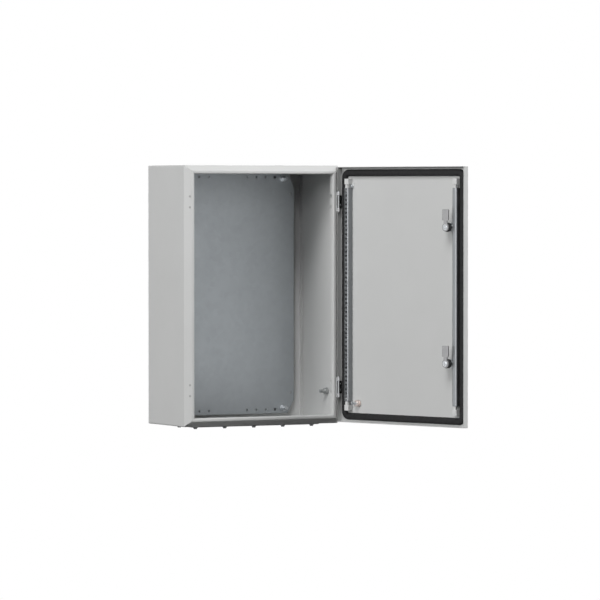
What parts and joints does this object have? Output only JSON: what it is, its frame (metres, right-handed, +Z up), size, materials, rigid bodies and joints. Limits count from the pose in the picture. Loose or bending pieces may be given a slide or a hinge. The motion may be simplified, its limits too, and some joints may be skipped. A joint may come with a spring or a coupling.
{
  "type": "wall enclosure",
  "caption": "Wall-mounted sheet-steel enclosure with a bevelled front frame, a hinged door standing open with cam locks and a foam seal, a galvanised mounting plate and a gland plate.",
  "frame": {"origin": "middle of the four wall-fixing holes, on the outside of the rear panel", "axes": "+X to the right seen from the front, towards the hinge side; +Y into the wall, so the front faces -Y; +Z up"},
  "size_m": [0.5288, 0.5736, 0.6074],
  "materials": {
    "body_paint": "light grey powder coat, fine texture, satin",
    "galvanised_plate": "galvanised sheet, faint grain, satin",
    "galvanised_rail": "galvanised strip, glossy",
    "seal_foam": "foamed polyurethane skin, matt",
    "black_plastic": "moulded, satin",
    "earth_nut": "copper-toned contact nut, satin",
    "lock_zinc": "plated zinc casting, satin",
    "zinc_steel": "bright zinc plate"
  },
  "bodies": {
    "cabinet": {"side_left": "body_paint", "side_right": "body_paint", "top_panel": "body_paint", "bottom_panel": "body_paint", "rear_panel": "body_paint", "plate_studs": "zinc_steel", "mounting_plate": "galvanised_plate", "plate_washers": "zinc_steel", "plate_nuts": "zinc_steel", "gland_gasket": "seal_foam", "gland_plate": "body_paint", "gland_screws": "zinc_steel", "body_earth_stud": "zinc_steel", "body_earth_nut": "zinc_steel", "hinge_hole_plugs": "black_plastic", "hinge_bracket_upper": "body_paint", "hinge_bracket_lower": "body_paint", "hinge_pin_upper": "zinc_steel", "hinge_pin_lower": "zinc_steel", "hinge_screws": "zinc_steel"},
    "door": {"door_panel": "body_paint", "door_gasket": "seal_foam", "door_rail_hinge": "galvanised_rail", "door_rail_lock": "galvanised_rail", "rail_brackets": "body_paint", "rail_nuts": "zinc_steel", "door_earth_stud": "zinc_steel", "door_earth_nut": "earth_nut", "hinge_leaf_upper": "zinc_steel", "hinge_leaf_lower": "zinc_steel", "hinge_rivets": "zinc_steel", "lock_housing_upper": "lock_zinc", "lock_nut_upper": "zinc_steel", "lock_collar_upper": "black_plastic", "lock_housing_lower": "lock_zinc", "lock_nut_lower": "zinc_steel", "lock_collar_lower": "black_plastic"},
    "lock_upper": {"lock_insert_upper": "lock_zinc", "lock_cam_upper": "lock_zinc", "lock_cam_screw_upper": "zinc_steel"},
    "lock_lower": {"lock_insert_lower": "lock_zinc", "lock_cam_lower": "lock_zinc", "lock_cam_screw_lower": "zinc_steel"}
  },
  "joints": [
    {"name": "door_hinge", "type": "hinge", "parent": "cabinet", "child": "door", "pos_m": [0.1966, -0.195, 0], "axis": [0, 0, 1], "range_deg": [-107.4, 12.6]},
    {"name": "lock_upper_turn", "type": "hinge", "parent": "door", "child": "lock_upper", "pos_m": [0.31433, -0.52552, 0.1585], "axis": [0.9542, 0.299, 0], "range_deg": [0, 90]},
    {"name": "lock_lower_turn", "type": "hinge", "parent": "door", "child": "lock_lower", "pos_m": [0.31433, -0.52552, -0.1515], "axis": [0.9542, 0.299, 0], "range_deg": [0, 90]}
  ]
}
